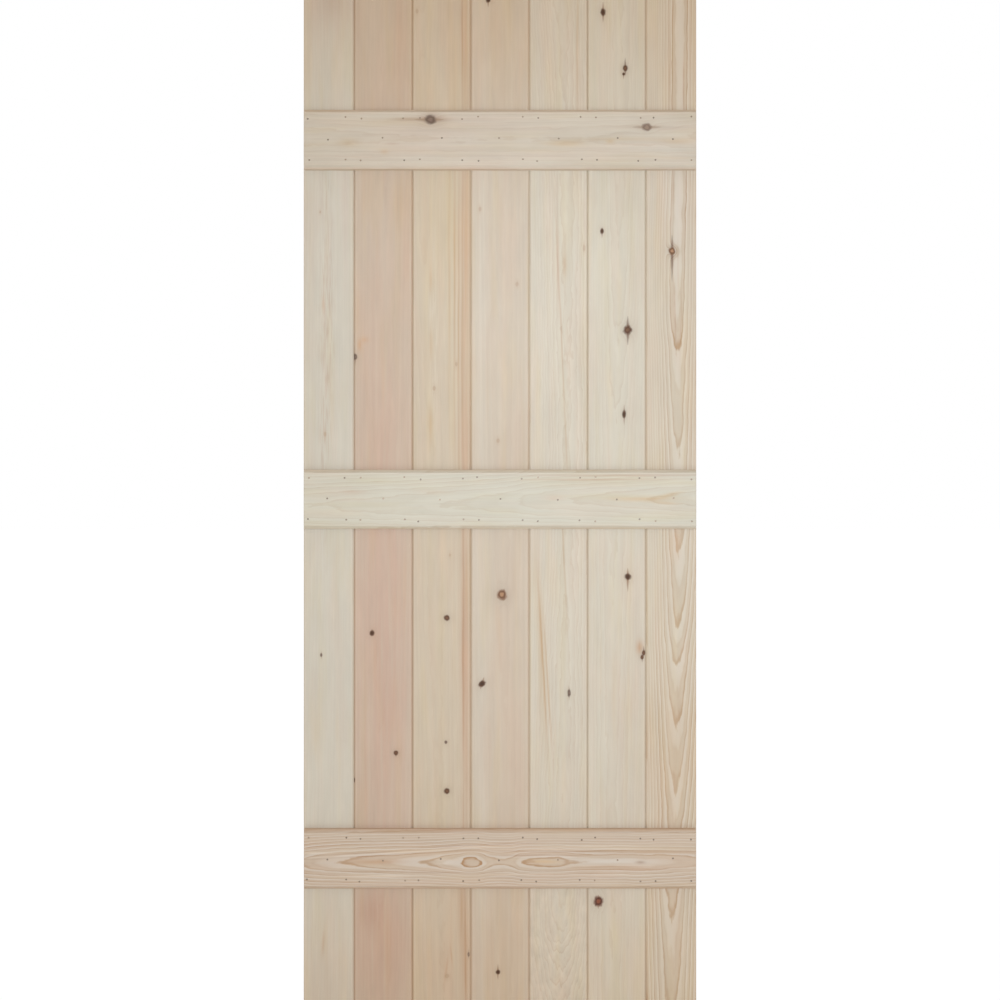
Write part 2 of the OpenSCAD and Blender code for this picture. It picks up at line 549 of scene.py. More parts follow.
BOARDS = [
    Board(
        node="plank_1", tone=(215, 211, 198), contrast=0.07, spacing=4.6, seed=1.0, streaks=0.045,
        heart=[(0, -420, 70), (1000, -415, 60), (1981, -425, 50)],
        knots=[
            Knot(-349, 1548, 3, 5, "faint", 8, 5),
            Knot(-340, 1117, 5, 9, "faint", 10, 10),
            Knot(-347, 688, 4, 7, "grey", 5, 5),
        ],
        patches=[
            Patch(-336, 1400, 13, 260, (190, 164, 142), 0.5, flecked=True),
            Patch(-342, 1060, 9, 160, (196, 172, 150), 0.35, flecked=True),
            Patch(-343, 1368, 3, 14, (200, 164, 130), 0.6),
            Patch(-300, 1560, 12, 90, (212, 192, 176), 0.4),
            Patch(-343, 125, 3, 24, (194, 162, 124), 0.55, lean=0.05),
            Patch(-332, 1970, 55, 75, (199, 180, 166), 0.6),
            Patch(-332, 1530, 50, 140, (222, 219, 209), 0.5),
            Patch(-332, 60, 55, 150, (208, 194, 176), 0.4),
        ],
    ),
    Board(
        node="plank_2", tone=(208, 194, 176), contrast=0.05, spacing=4.8, seed=2.0, streaks=0.04,
        heart=[(0, -235, 60), (1000, -225, 48), (1981, -215, 40)],
        knots=[
            Knot(-281, 1267, 7, 11, "grey", 2, 12),
            Knot(-248.5, 731, 8, 10, "dark", 3, 3),
            Knot(-202, 498, 8, 8, "brown", 0, 4),
            Knot(-284, 445, 4, 8, "dark", 8, 8),
        ],
        patches=[
            Patch(-227, 700, 66, 460, (208, 178, 161), 0.75),
            Patch(-240, 1200, 40, 300, (210, 184, 166), 0.5),
            Patch(-192, 1570, 24, 62, (204, 174, 138), 0.5),
            Patch(-182, 1470, 12, 90, (210, 178, 152), 0.45),
            Patch(-192, 1870, 16, 110, (209, 180, 154), 0.5),
            Patch(-229, 115, 55, 120, (198, 166, 148), 0.55),
            Patch(-250, 190, 24, 38, (188, 150, 130), 0.45),
            Patch(-227, 1560, 50, 140, (214, 198, 184), 0.35),
            Patch(-272, 1290, 4, 12, (208, 168, 130), 0.7),
            Patch(-262, 1300, 8, 6, (208, 172, 136), 0.5),
        ],
    ),
    Board(
        node="plank_3", tone=(212, 200, 180), contrast=0.08, spacing=4.4, seed=3.0, streaks=0.05,
        heart=[(0, -112, 44), (1000, -130, 40), (1700, -150, 30), (1981, -153, 18)],
        knots=[
            Knot(-161, 1938, 5, 8, "faint", 8, 8),
            Knot(-85, 1253, 5, 8, "faint", 10, 10),
            Knot(-128, 1206, 6, 8, "faint", 8, 8),
            Knot(-97, 882, 4, 6, "faint", 8, 8),
            Knot(-103, 760, 10, 10, "brown", 2, 2),
            Knot(-105, 519, 5, 6, "grey", 2, 2),
            Knot(-103, 424, 10, 10, "brown", 2, 2),
            Knot(-103, 65, 8, 8, "faint", 8, 8),
            Knot(-61, 107, 4, 8, "pale", 10, 6),
        ],
        patches=[
            Patch(-116, 1523, 40, 150, (212, 195, 162), 0.4),
            Patch(-128, 1290, 10, 160, (224, 216, 200), 0.5, flecked=True),
            Patch(-98, 1436, 2.4, 240, (204, 178, 138), 0.5),
            Patch(-88, 1400, 2.0, 280, (192, 158, 116), 0.55),
            Patch(-80, 1300, 1.8, 300, (190, 156, 118), 0.6),
            Patch(-73, 1320, 2.0, 330, (188, 152, 118), 0.6),
            Patch(-66, 1360, 9, 420, (204, 172, 140), 0.7),
            Patch(-67, 672, 9, 360, (205, 174, 148), 0.8),
            Patch(-71, 672, 1.9, 360, (180, 140, 110), 0.55),
            Patch(-66, 1880, 8, 130, (204, 176, 148), 0.7),
            Patch(-73, 1880, 1.8, 120, (184, 146, 114), 0.55),
            Patch(-66, 120, 8, 130, (203, 172, 142), 0.7),
            Patch(-76, 195, 6, 75, (190, 154, 120), 0.6),
            Patch(-68, 185, 1.8, 70, (174, 132, 100), 0.6),
            Patch(-67, 60, 1.8, 60, (178, 138, 106), 0.6),
            Patch(-103, 80, 2.2, 24, (194, 156, 118), 0.55, lean=0.12),
            Patch(-94, 105, 1.8, 20, (196, 160, 124), 0.5, lean=-0.1),
            Patch(-118, 60, 50, 170, (206, 184, 158), 0.35),
            Patch(-112, 905, 5, 60, (222, 208, 184), 0.5),
            Patch(-134, 1416, 3.5, 22, (203, 174, 132), 0.5),
            Patch(-134, 1290, 3.5, 32, (203, 174, 132), 0.5),
            Patch(-134, 1135, 3.5, 32, (203, 174, 132), 0.5),
        ],
    ),
    Board(
        node="plank_4", tone=(213, 202, 185), contrast=0.06, spacing=4.8, seed=4.0, streaks=0.045,
        heart=[(0, 10, 52), (1000, 5, 45), (1981, -5, 40)],
        knots=[
            Knot(-23, 1960, 8, 10, "dark", 0, 10),
            Knot(-39, 1554, 5, 8, "faint", 8, 8),
            Knot(33, 1408, 6, 8, "faint", 8, 8),
            Knot(-4, 1104, 6, 8, "faint", 8, 8),
            Knot(4, 805, 17, 18, "ring", 2, 2),
            Knot(-35, 632, 12, 11, "dark", 8, 5, 0.3),
            Knot(-4, 73, 7, 8, "dark", 12, 12),
        ],
        patches=[
            Patch(-36, 990, 11, 1500, (217, 210, 196), 0.65),
            Patch(20, 500, 34, 500, (210, 189, 169), 0.4),
            Patch(5, 1900, 50, 160, (208, 190, 162), 0.4),
            Patch(5, 90, 50, 170, (205, 186, 158), 0.4),
        ],
    ),
    Board(
        node="plank_5", tone=(216, 210, 195), contrast=0.21, spacing=4.6, seed=5.0, streaks=0.05,
        wander=7.0, mottled_foot=0.28,
        heart=[
            (0, 116, 57), (110, 116, 41), (220, 118, 26), (300, 120, 24), (700, 128, 26),
            (1000, 132, 31), (1981, 118, 24),
        ],
        knots=[
            Knot(163, 1478, 4, 12, "faint", 10, 10),
            Knot(134, 614, 6, 13, "grey", 10, 8),
        ],
        patches=[
            Patch(126, 1446, 4, 24, (205, 180, 144), 0.5),
            Patch(150, 1870, 2.5, 110, (204, 178, 140), 0.5),
            Patch(112, 1500, 1.6, 150, (196, 174, 148), 0.4),
            Patch(79, 690, 7, 190, (205, 180, 144), 0.5, lean=-0.04),
            Patch(83, 672, 2, 130, (190, 152, 108), 0.7, lean=-0.06),
            Patch(92, 640, 2, 110, (194, 160, 120), 0.6, lean=-0.07),
            Patch(125, 860, 1.8, 90, (194, 168, 138), 0.6, lean=-0.05),
            Patch(119, 1310, 1.7, 270, (196, 170, 138), 0.6, lean=-0.046),
        ],
    ),
    Board(
        node="plank_6", tone=(217, 212, 197), contrast=0.14, spacing=3.8, seed=6.0, streaks=0.045,
        heart=[(0, 215, 50), (1000, 222, 44), (1500, 232, 34), (1981, 236, 30)],
        knots=[
            Knot(200, 1936, 9, 13, "dark", 14, 14),
            Knot(243, 1827, 9, 10, "brown", 16, 10),
            Knot(240, 1816, 5, 5, "dark", 3, 8),
            Knot(198, 1511, 6.5, 9.5, "dark", 4, 9),
            Knot(248, 1319, 15, 15, "brown", 20, 22),
            Knot(241, 1156, 7, 13, "dark", 12, 16),
            Knot(248, 840, 11, 11, "dark", 12, 24),
            Knot(279, 692, 6, 9, "brown", 10, 3),
            Knot(276, 684, 6, 8, "brown", 3, 6),
            Knot(191, 210, 16, 18, "red", 4, 6),
        ],
        patches=[
            Patch(250, 520, 40, 300, (212, 195, 179), 0.35),
            Patch(223, 140, 14, 50, (217, 206, 178), 0.4),
            Patch(272, 703, 7, 13, (196, 150, 106), 0.65),
        ],
    ),
    Board(
        node="plank_7", tone=(210, 202, 185), contrast=0.68, spacing=3.4, seed=7.0, streaks=0.05,
        wander=1.8, whiteness=0.6, even=0.45, steady=0.75,
        heart=[
            (0, 334, 70.8), (190, 334, 67.6), (310, 337, 64.2), (440, 342, 60.8), (562, 343, 57.4),
            (676, 344, 54.0), (756, 346, 50.6), (902, 348, 47.2), (1096, 346, 43.8), (1230, 345, 41.6),
            (1285, 345, 40.4), (1340, 344, 38.7), (1430, 344, 38.0), (1650, 348, 37.9),
            (1981, 349, 37.8),
        ],
        knots=[Knot(334, 1472, 12, 12.5, "ring", 26, 54)],
        patches=[
            Patch(343, 905, 9, 40, (208, 172, 138), 0.4),
            Patch(332, 1570, 55, 150, (217, 210, 200), 0.55),
            Patch(332, 500, 55, 170, (208, 186, 158), 0.45),
            Patch(336, 1591, 1.4, 34, (186, 152, 120), 0.6),
            Patch(351, 1330, 1.3, 60, (190, 160, 132), 0.55, lean=0.03),
            Patch(340, 1345, 1.3, 55, (192, 162, 134), 0.55, lean=-0.03),
            Patch(346, 1440, 1.2, 60, (194, 166, 140), 0.5),
            Patch(357, 1795, 1.5, 60, (176, 142, 110), 0.6),
            Patch(330, 1824, 1.4, 65, (182, 150, 118), 0.5),
        ],
    ),
    Board(
        node="top_ledge", tone=(215, 208, 194), contrast=0.14, spacing=5.0, seed=8.0, streaks=0.08,
        heart=[(-381, 1690, 46), (0, 1684, 50), (381, 1690, 44)],
        knots=[
            Knot(-134, 1722.5, 20, 16, "grey", 16, 22),
            Knot(283, 1708, 17, 13, "pale", 20, 20),
        ],
        patches=[
            Patch(-172, 1723, 42, 4.5, (176, 148, 116), 0.6),
            Patch(-120, 1722, 26, 5, (176, 150, 122), 0.5),
            Patch(-131, 1723, 20, 10, (166, 138, 114), 0.5),
            Patch(283, 1708, 62, 4.5, (180, 160, 140), 0.6),
            Patch(-293, 1679, 18, 8, (206, 186, 154), 0.5),
            Patch(125, 1677, 36, 6, (206, 184, 146), 0.6),
            Patch(235, 1684, 80, 3, (208, 188, 152), 0.5),
            Patch(320, 1676, 90, 50, (224, 220, 210), 0.5),
            Patch(-90, 1690, 130, 55, (210, 196, 184), 0.4),
            Patch(343, 1681, 30, 5, (210, 188, 150), 0.5),
            Patch(212, 1680, 8, 4, (210, 186, 146), 0.5),
            Patch(-223, 1660, 8, 5, (210, 184, 148), 0.45),
            Patch(-207, 1676, 14, 2.5, (194, 168, 148), 0.45),
        ],
    ),
    Board(
        node="middle_ledge", tone=(215, 213, 199), contrast=0.19, spacing=4.6, seed=9.0, streaks=0.045,
        heart=[(-381, 978, 60), (0, 984, 52), (70, 988, 48), (200, 990, 44), (381, 992, 38)],
        patches=[
            Patch(278, 991, 62, 5, (214, 187, 147), 0.7),
            Patch(324, 998, 26, 4, (214, 188, 148), 0.55, lean=0.24),
            Patch(315, 984, 28, 3, (216, 194, 158), 0.4, lean=-0.06),
            Patch(105, 993, 22, 6, (214, 194, 174), 0.5),
            Patch(-283, 1004, 22, 5, (214, 194, 174), 0.45),
            Patch(-135, 1004, 35, 5, (212, 194, 170), 0.45),
            Patch(230, 1037, 170, 2.2, (194, 166, 146), 0.6),
            Patch(180, 1029, 130, 2.0, (198, 172, 150), 0.5),
        ],
    ),
    Board(
        node="bottom_ledge", tone=(203, 189, 172), contrast=1.0, spacing=4.2, seed=10.0, streaks=0.10,
        wander=2.4, whiteness=1.1, even=0.35, steady=0.55, gradual=0.16,
        heart=[
            (-381, 290, 41.5), (-345, 290, 38.9), (-301, 291, 37.3), (-230, 291, 35.5),
            (-180, 291, 34.2), (-139, 291, 33.1), (-105, 291, 30.9), (-76, 291, 29.1), (-57, 291, 27.75),
            (-37, 291, 29.1), (4, 291, 32.8), (43, 291, 29.2), (92, 291, 27.8), (141, 291, 29.2),
            (190, 291, 29.9), (240, 291, 29.9), (268, 290, 29.7), (296, 291, 29.9), (330, 292, 30.9),
            (381, 293, 32.3),
        ],
        patches=[
            Patch(-212, 315, 80, 2.0, (228, 219, 205), 0.7, lean=0.03),
            Patch(-355, 308, 35, 2.0, (228, 219, 205), 0.7),
            Patch(-226, 264, 55, 2.2, (228, 219, 205), 0.65),
            Patch(-330, 322, 60, 1.6, (186, 156, 130), 0.5, lean=0.05),
            Patch(-231, 291, 60, 5, (196, 160, 124), 0.5),
            Patch(-105, 291, 16, 5, (222, 215, 205), 0.6),
            Patch(87, 291, 30, 4, (214, 186, 146), 0.6),
            Patch(231, 292, 85, 5, (216, 211, 203), 0.7),
            Patch(271, 290, 9, 3.2, (156, 126, 100), 0.9),
            Patch(-193, 313, 170, 1.3, (164, 128, 100), 0.6, lean=0.06),
            Patch(-193, 309.5, 170, 1.3, (232, 225, 214), 0.7, lean=0.06),
            Patch(-200, 305.5, 150, 1.2, (168, 132, 104), 0.55, lean=0.055),
            Patch(-100, 318.5, 120, 1.2, (232, 225, 214), 0.65, lean=0.05),
            Patch(-80, 322, 130, 1.3, (164, 128, 100), 0.6, lean=0.045),
            Patch(-190, 272, 180, 1.3, (168, 134, 106), 0.5, lean=-0.01),
            Patch(173, 312, 190, 1.4, (166, 130, 102), 0.6),
            Patch(160, 316, 180, 1.3, (232, 225, 214), 0.6),
            Patch(90, 304, 100, 1.2, (170, 134, 106), 0.55),
            Patch(95, 300.5, 70, 1.2, (232, 225, 214), 0.55),
            Patch(220, 281.5, 85, 1.2, (174, 140, 112), 0.55),
            Patch(270, 308, 110, 2.0, (182, 150, 122), 0.6, lean=0.02),
            Patch(193, 322, 80, 2.0, (226, 216, 200), 0.6),
            Patch(60, 268, 70, 1.8, (226, 216, 202), 0.5),
            Patch(260, 277, 90, 1.6, (186, 156, 130), 0.5),
            Patch(250, 266, 70, 2.2, (226, 218, 204), 0.5),
        ],
    ),
]


def board_axes(graph, board):
    """Where each place of a board lies in its grain."""
    coords = graph.add("ShaderNodeTexCoord")
    x, y, z = graph.split(coords.outputs["Object"])
    turn_x, _, turn_z = graph.split(coords.outputs["Normal"])
    deep = graph.minus(y, board.front * MM)
    across, along = (x, z) if board.upright else (z, x)
    facing = turn_z if board.upright else turn_x
    sawn = graph.smooth(graph.absolute(facing), *SAWN_FADE)
    return Axes(across, deep, along, sawn)


def grain_noise(graph, board, axes, noise):
    """Noise from 0 to 1 whose marks are drawn out along the grain."""
    seed = board.seed + noise.seed
    vector = graph.join(
        graph.times_plus(axes.across, noise.across, seed * SEED_STEP_ACROSS),
        graph.times(axes.deep, noise.across),
        graph.times_plus(axes.along, noise.along, seed * SEED_STEP_ALONG),
    )
    return graph.noise(vector, noise.detail)


def grain_swing(graph, board, axes, noise):
    """The same noise, to both sides of 0."""
    return graph.minus(grain_noise(graph, board, axes, noise), 0.5)


def heart_line(graph, board, along):
    """The tree's heart beside each place: where it lies across the grain, and its depth, in metres."""
    start, end = board.span
    share = graph.share(along, start * MM, end * MM)
    places = []
    depths = []
    for at, place, depth in board.heart:
        part = (at - start) / (end - start)
        places.append((part, place))
        depths.append((part, depth))
    across = graph.times(graph.curve(share, places), MM)
    deep = graph.times(graph.curve(share, depths), MM)
    return across, deep


def ring_radius(graph, board, axes, swell):
    """How far each place is from the heart in all, and how far to its side, in metres."""
    heart_across, heart_deep = heart_line(graph, board, axes.along)
    wander = board.wander * MM
    bend = graph.times(grain_swing(graph, board, axes, SLOW_BEND), BEND_SHARE * wander)
    sideways = graph.plus(graph.minus(axes.across, heart_across), bend)
    radius = graph.hypot(sideways, graph.minus(axes.deep, heart_deep))
    quick = graph.times(grain_swing(graph, board, axes, QUICK_BEND), wander)
    radius = graph.plus(radius, quick)
    jags = graph.times(grain_swing(graph, board, axes, JAGS), JAG_SHARE * wander)
    radius = graph.plus(radius, jags)
    radius = graph.plus(radius, graph.times(swell, SWELL_SHARE))
    return radius, sideways


def ring_strength(graph, board, axes, years, tilt):
    """How strongly a ring shows: by chance, fainter where rings are close or die away."""
    number = graph.math("FLOOR", years)
    vigour = graph.chance(graph.plus(number, board.seed * SEED_STEP_RINGS))
    vigour = graph.times_plus(vigour, 1.0 - board.even, board.even)
    visible = graph.smooth(tilt, board.spacing * COARSE, board.spacing * FINE, 1.0, FAINT)
    visible = graph.times(vigour, graph.math("MAXIMUM", visible, axes.sawn))
    lull = grain_noise(graph, board, axes, LULLS)
    return graph.times(visible, graph.smooth(lull, *LULL_FADE, board.steady, 1.0))


def ring_lines(graph, board, axes, swell):
    """How dark the rings' summer wood is at each place, and how pale their spring wood, up to 1."""
    radius, sideways = ring_radius(graph, board, axes, swell)
    years = graph.over(radius, board.spacing * MM)
    part = graph.math("FRACT", years)
    gradual = graph.smooth(part, SUMMER_START, SUMMER_EVEN, 0.0, board.gradual)
    steep = graph.smooth(part, SUMMER_STEEP, SUMMER_PEAK, 0.0, 1.0 - board.gradual)
    between = graph.bell(graph.times(graph.minus(part, BETWEEN_PLACE), BETWEEN_SHARPNESS))
    rise = graph.times_plus(between, BETWEEN_STRENGTH, graph.plus(gradual, steep))
    fall = graph.smooth(part, SUMMER_LAST, 1.0, 1.0, 0.0)
    pale = graph.smooth(part, SPRING_START, SPRING_END, 1.0, 0.0)
    tilt = graph.over(graph.absolute(sideways), radius)
    strength = ring_strength(graph, board, axes, years, tilt)
    return graph.times(graph.times(rise, fall), strength), graph.times(pale, strength)


def knot_masks(graph, board, axes, tree):
    """The masks of each knot of a board, and the swell of its rings round all of them."""
    wobble = graph.times(grain_swing(graph, board, axes, KNOT_EDGE), KNOT_RAGGEDNESS)
    masks = []
    swell = 0.0
    for knot in board.knots:
        at_across, at_along = board.turned(knot.x, knot.z)
        width, length = board.turned(knot.width, knot.height)
        mask = graph.group(
            tree,
            across=axes.across,
            along=axes.along,
            at_across=at_across * MM,
            at_along=at_along * MM,
            half_width=width / 2 * MM,
            half_length=length / 2 * MM,
            lean=knot.lean,
            tail_up=(knot.tail_up + length / 2) * MM,
            tail_down=(knot.tail_down + length / 2) * MM,
            wobble=wobble,
        )
        masks.append((knot, mask))
        swell = graph.plus(mask["swell"], swell)
    return masks, swell


def paint_patches(graph, board, axes, tree, colour):
    """Lays the board's patches of other colours over its own."""
    fine = grain_noise(graph, board, axes, PATCH_STREAKS)
    streaked = graph.smooth(fine, *STREAK_FADE, PATCH_LEAST, 1.0)
    broken = grain_noise(graph, board, axes, PATCH_FLECKS)
    flecked = graph.smooth(broken, *FLECK_FADE)
    bend = grain_swing(graph, board, axes, PATCH_BEND)
    across = graph.times_plus(bend, PATCH_BEND_REACH * MM, axes.across)
    for patch in board.patches:
        at_across, at_along = board.turned(patch.x, patch.z)
        half_width, half_length = board.turned(patch.half_x, patch.half_z)
        mask = graph.group(
            tree,
            across=across,
            along=axes.along,
            at_across=at_across * MM,
            at_along=at_along * MM,
            half_width=half_width * MM,
            half_length=half_length * MM,
            lean=patch.lean,
            streak=flecked if patch.flecked else streaked,
        )
        shown = graph.times(mask["mask"], patch.strength)
        colour = graph.lay(shown, colour, screen(*patch.colour))
    return colour


def paint_knots(graph, masks, colour):
    """Lays the knots over the wood: first halo and tails, then core and rim."""
    for knot, mask in masks:
        look = KNOT_LOOKS[knot.kind]
        halo = graph.times(mask["halo"], HALO_STRENGTH)
        colour = graph.lay(halo, colour, screen(*look.tail))
        colour = graph.lay(graph.times(mask["tail"], look.show), colour, screen(*look.tail))
        colour = graph.lay(graph.times(mask["core"], look.show), colour, screen(*look.core))
        colour = graph.lay(graph.times(mask["rim"], look.show), colour, screen(*look.rim))
    return colour


def edge_highlight_and_shade(graph, board, axes):
    """Where a long edge gets a painted highlight just inside its bevel, and where its bevel gets painted
    shade.
    """
    left, right, bevel = board.edges
    centre = (left + right) / 2
    half = (right - left) / 2
    out = graph.absolute(graph.minus(axes.across, centre * MM))
    from_edge = graph.times(graph.minus(out, (half - bevel) * MM), 1 / MM)
    arris_highlight = graph.bell(graph.times(graph.plus(from_edge, HIGHLIGHT_INSET), HIGHLIGHT_NARROWNESS))
    shaded_bevel = graph.smooth(from_edge, BEVEL_SHADE_START, bevel)
    return arris_highlight, shaded_bevel


def ledge_top_shade(graph):
    """Painted shade on a ledge: darker on its upper side."""
    coords = graph.add("ShaderNodeTexCoord")
    upward = graph.split(coords.outputs["Normal"])[2]
    return graph.smooth(upward, *LEDGE_TOP_SHADE_FADE)


def plank_contact_shade(graph, axes):
    """Painted contact shade on a plank: its front, just above each ledge."""
    marks = 0.0
    for height in LEDGE_HEIGHTS.values():
        above = graph.minus(axes.along, (height + LEDGE_HALF) * MM)
        marks = graph.plus(graph.bell(graph.times(above, 1 / (CONTACT_SHADE_REACH * MM))), marks)
    front = graph.smooth(axes.deep, *CONTACT_SHADE_FADE, CONTACT_SHADE_STRENGTH, 0.0)
    return graph.times(marks, front)


def wood_colour(graph, board, axes, tree):
    """The board's colour with its patches, and with a pink or yellow tone in places."""
    colour = paint_patches(graph, board, axes, tree, screen(*board.tone))
    blush = grain_noise(graph, board, axes, BLUSH)
    colour = graph.tint(graph.smooth(blush, *BLUSH_FADE), colour, BLUSH_TINT)
    honey = grain_noise(graph, board, axes, HONEY)
    return graph.tint(graph.smooth(honey, *HONEY_FADE), colour, HONEY_TINT)


def wood_light(graph, board, axes, fibres, pale):
    """How light the wood is at each place, 1 being its own colour."""
    streaks = grain_swing(graph, board, axes, STREAKS)
    clouds = grain_swing(graph, board, axes, CLOUDS)
    mottle = grain_swing(graph, board, axes, MOTTLE)
    light = graph.times_plus(streaks, STREAK_LIGHT * board.streaks, 1.0)
    light = graph.times_plus(clouds, CLOUD_LIGHT, light)
    light = graph.times_plus(mottle, MOTTLE_LIGHT, light)
    light = graph.times_plus(fibres, FIBRE_LIGHT, light)
    if board.mottled_foot:
        figure = grain_swing(graph, board, axes, FOOT_MOTTLE)
        shown = graph.smooth(axes.along, *FOOT_FADE, board.mottled_foot, 0.0)
        light = graph.times_plus(figure, shown, light)
    light = graph.times_plus(pale, SPRING_LIGHT * board.contrast, light)
    return graph.plus(light, MAKE_UP_LIGHT * board.contrast)


def paint_rings(graph, board, axes, lines, pale, colour):
    """Whitens the rings' spring wood and darkens their summer wood, more so on a sawn end."""
    white = graph.times(pale, board.whiteness * board.contrast)
    colour = graph.lay(white, colour, screen(*SPRING_COLOUR))
    strength = graph.times_plus(axes.sawn, SAWN_DEPTH, board.contrast)
    return graph.tint(graph.times(lines, strength), colour, SUMMER_TINT)


def paint_light_and_shade(graph, board, axes, colour):
    """Paints a highlight along the edges, and painted shade in the bevels, on the ledges' upper sides,
    on the planks just above the ledges and, warmer, towards the planks' ends.
    """
    arris_highlight, shaded_bevel = edge_highlight_and_shade(graph, board, axes)
    # painted highlight along each arris
    colour = graph.lay(graph.times(arris_highlight, HIGHLIGHT_STRENGTH), colour, HIGHLIGHT_COLOUR)
    # painted shade in the bevels
    bevel_shade_colour = PLANK_BEVEL_SHADE if board.upright else LEDGE_BEVEL_SHADE
    colour = graph.tint(graph.times(shaded_bevel, BEVEL_SHADE_STRENGTH), colour, bevel_shade_colour)
    if not board.upright:
        # painted shade on the ledge's upper side
        return graph.tint(ledge_top_shade(graph), colour, PAINTED_SHADE_TINT)
    # painted contact shade on the planks just above each ledge
    colour = graph.tint(plank_contact_shade(graph, axes), colour, PAINTED_SHADE_TINT)
    # painted shade: warmer towards the planks' ends
    distance = graph.absolute(graph.minus(axes.along, DOOR_HEIGHT / 2 * MM))
    return graph.tint(graph.smooth(distance, *END_SHADE_FADE), colour, END_SHADE_TINT)


def pine(board, trees):
    """Bare planed pine with its rings, fibres, stains and knots, and with painted highlights and painted
    shade at its edges, by the ledges and towards its ends.
    """
    material, graph, shader = new_material(board.node)
    axes = board_axes(graph, board)
    masks, swell = knot_masks(graph, board, axes, trees["knot"])
    lines, pale = ring_lines(graph, board, axes, swell)
    fibres = grain_swing(graph, board, axes, FIBRES)
    colour = wood_colour(graph, board, axes, trees["patch"])
    colour = graph.scale(colour, wood_light(graph, board, axes, fibres, pale))
    colour = paint_rings(graph, board, axes, lines, pale, colour)
    colour = paint_light_and_shade(graph, board, axes, colour)
    colour = paint_knots(graph, masks, colour)
    colour = graph.tint(graph.times(axes.sawn, SAWN_STRENGTH), colour, SAWN_TINT)
    graph.feed(shader.inputs["Base Color"], colour)
    rough = graph.times_plus(lines, RING_ROUGHNESS, WOOD_ROUGHNESS)
    graph.feed(shader.inputs["Roughness"], graph.times_plus(fibres, FIBRE_ROUGHNESS, rough))
    relief = graph.times_plus(lines, RING_RELIEF, graph.times(fibres, FIBRE_RELIEF))
    graph.bump(shader, relief, WOOD_BUMP, WOOD_RELIEF)
    shader.inputs["Specular IOR Level"].default_value = WOOD_SPECULAR
    return material


def nail_steel():
    """Dull wire steel with a scuffed, slightly stained head."""
    material, graph, shader = new_material("nail_steel")
    place = graph.add("ShaderNodeTexCoord").outputs["Object"]
    scuffs = graph.noise(graph.scale(place, SCUFFS_PER_METRE), 3.0)
    stains = graph.noise(graph.scale(place, STAINS_PER_METRE), 1.0)
    scuffed = graph.smooth(scuffs, *SCUFF_FADE)
    colour = graph.lay(scuffed, screen(*STEEL_DARK), screen(*STEEL_LIGHT))
    stained = graph.smooth(stains, *STAIN_FADE, 0.0, STAIN_STRENGTH)
    colour = graph.lay(stained, colour, screen(*STEEL_STAIN))
    graph.feed(shader.inputs["Base Color"], colour)
    rough = graph.smooth(scuffs, *STEEL_SMOOTHING, *STEEL_ROUGHNESS)
    graph.feed(shader.inputs["Roughness"], rough)
    shader.inputs["Metallic"].default_value = STEEL_METALLIC
    graph.bump(shader, scuffs, STEEL_BUMP, STEEL_RELIEF)
    return material


def dress_frame(nodes):
    """Gives each CAD node its material."""
    trees = {"knot": knot_group(), "patch": patch_group()}
    steel = nail_steel()
    looks = {board.node: pine(board, trees) for board in BOARDS}
    for name, node in nodes.items():
        for slot in node.material_slots:
            slot.material = looks.get(name, steel)


def add_camera():
    """A camera square to the door's front."""
    data = bpy.data.cameras.new("camera")
    data.sensor_width = SENSOR_WIDTH
    data.lens = SENSOR_WIDTH * CAMERA_DISTANCE / VIEW_WIDTH
    camera = bpy.data.objects.new("camera", data)
    camera.location = (0.0, PLANK_FRONT * MM - CAMERA_DISTANCE, CAMERA_HEIGHT)
    camera.rotation_euler = (math.radians(90), 0.0, 0.0)
    bpy.context.collection.objects.link(camera)
    bpy.context.scene.camera = camera


def add_softbox(name, place, target, size, power, spread):
    """A round soft lamp with cool light. Its spread is in degrees."""
    data = bpy.data.lights.new(name, "AREA")
    data.shape = "DISK"
    data.size = size
    data.energy = power
    data.color = COOL_LIGHT
    data.spread = math.radians(spread)
    lamp = bpy.data.objects.new(name, data)
    lamp.location = place
    aim = Vector(target) - Vector(place)
    lamp.rotation_euler = aim.to_track_quat("-Z", "Y").to_euler()
    lamp.visible_camera = False
    bpy.context.collection.objects.link(lamp)


def seen_directly(graph):
    """1 for rays that show the surroundings themselves: to the camera, or by gloss or glass."""
    path = graph.add("ShaderNodeLightPath")
    seen = graph.math("MAXIMUM", path.outputs["Is Camera Ray"], path.outputs["Is Glossy Ray"])
    return graph.math("MAXIMUM", seen, path.outputs["Is Transmission Ray"])


def add_world():
    """Even light from all round, with white behind the object."""
    world = bpy.data.worlds.new("studio")
    world.use_nodes = True
    bpy.context.scene.world = world
    graph = Graph(world.node_tree)
    light = world.node_tree.nodes["Background"]
    light.inputs["Color"].default_value = WARM_LIGHT
    light.inputs["Strength"].default_value = WARM_STRENGTH
    white = graph.add("ShaderNodeBackground")
    white.inputs["Color"].default_value = (1.0, 1.0, 1.0, 1.0)
    mix = graph.add("ShaderNodeMixShader")
    graph.feed(mix.inputs[0], seen_directly(graph))
    graph.feed(mix.inputs[1], light.outputs[0])
    graph.feed(mix.inputs[2], white.outputs[0])
    graph.feed(world.node_tree.nodes["World Output"].inputs["Surface"], mix.outputs[0])


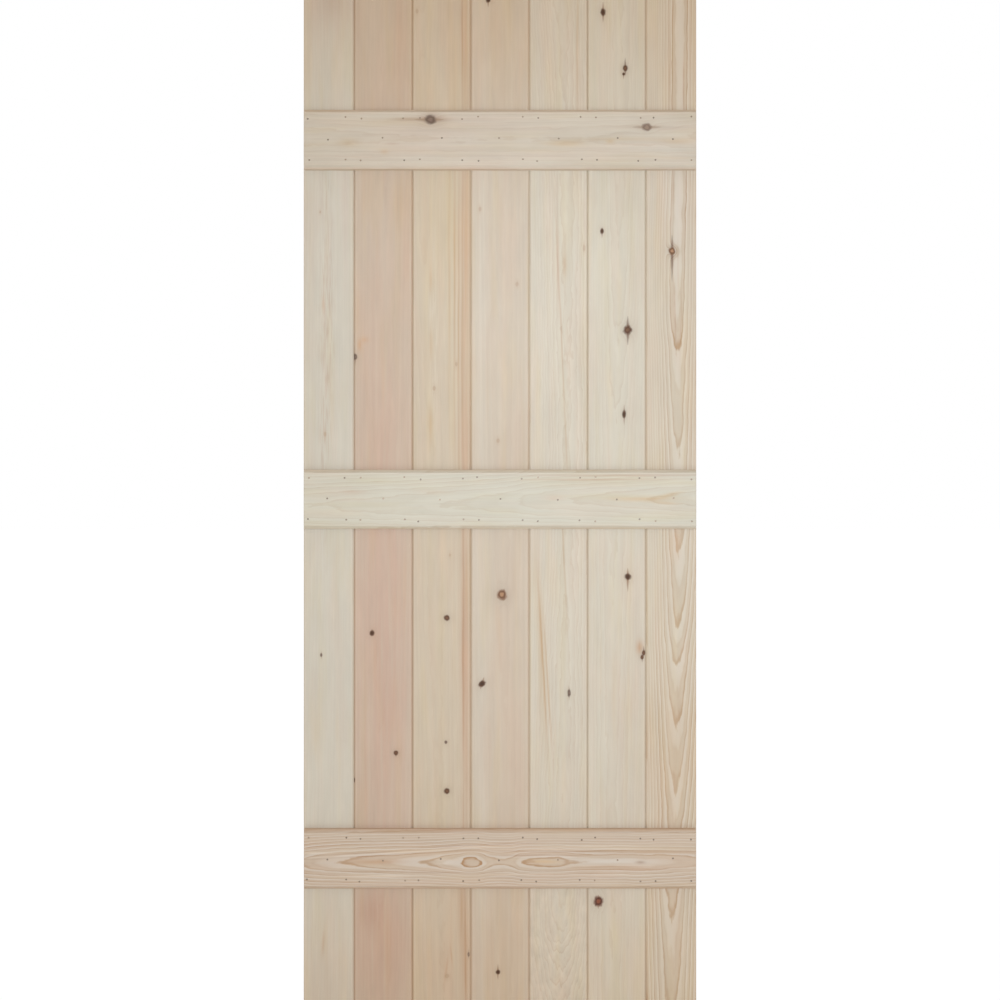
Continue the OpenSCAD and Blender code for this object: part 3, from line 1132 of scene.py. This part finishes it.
def floor_white():
    """White floor that keeps shadows: mostly matt paint, lifted to white where it is seen."""
    material, graph, shader = new_material("floor_white")
    shader.inputs["Base Color"].default_value = FLOOR_PAINT
    shader.inputs["Roughness"].default_value = FLOOR_ROUGHNESS
    shader.inputs["Specular IOR Level"].default_value = 0.0
    coords = graph.add("ShaderNodeTexCoord")
    x, y, _ = graph.split(coords.outputs["Object"])
    lift = graph.smooth(graph.hypot(x, y), *LIFT_FADE, *LIFT_STRENGTH)
    glow = graph.add("ShaderNodeEmission")
    glow.inputs["Color"].default_value = FLOOR_LIFT
    graph.feed(glow.inputs["Strength"], graph.times(seen_directly(graph), lift))
    both = graph.add("ShaderNodeAddShader")
    graph.feed(both.inputs[0], shader.outputs[0])
    graph.feed(both.inputs[1], glow.outputs[0])
    output = material.node_tree.nodes["Material Output"]
    graph.feed(output.inputs["Surface"], both.outputs[0])
    return material


def add_floor():
    """A square floor under the door."""
    corners = [
        (-FLOOR_HALF, -FLOOR_HALF, FLOOR_HEIGHT),
        (FLOOR_HALF, -FLOOR_HALF, FLOOR_HEIGHT),
        (FLOOR_HALF, FLOOR_HALF, FLOOR_HEIGHT),
        (-FLOOR_HALF, FLOOR_HALF, FLOOR_HEIGHT),
    ]
    mesh = bpy.data.meshes.new("floor")
    mesh.from_pydata(corners, [], [(0, 1, 2, 3)])
    mesh.materials.append(floor_white())
    floor = bpy.data.objects.new("floor", mesh)
    bpy.context.collection.objects.link(floor)


def add_studio():
    """A cool soft lamp on each side of the door and a weak one higher up, in warm light all round."""
    add_world()
    add_softbox("front_lamp", (0.15, -2.3, 1.0), (0.15, 0.0, 1.0), size=0.9, power=8.7, spread=110.0)
    add_softbox("upper_lamp", (0.02, -2.3, 1.45), (0.02, 0.0, 1.45), size=0.4, power=0.14, spread=24.0)
    add_softbox("back_lamp", (-0.15, 2.3, 1.0), (-0.15, 0.0, 1.0), size=0.9, power=8.7, spread=110.0)
    add_floor()


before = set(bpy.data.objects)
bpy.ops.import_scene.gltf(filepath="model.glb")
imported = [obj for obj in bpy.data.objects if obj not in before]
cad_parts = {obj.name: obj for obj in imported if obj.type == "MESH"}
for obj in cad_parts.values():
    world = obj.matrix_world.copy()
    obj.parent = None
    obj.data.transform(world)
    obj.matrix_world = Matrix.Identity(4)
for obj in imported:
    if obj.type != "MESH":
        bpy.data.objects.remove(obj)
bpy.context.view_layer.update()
add_camera()
add_studio()
dress_frame(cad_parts)
bpy.context.scene.view_settings.view_transform = "Standard"
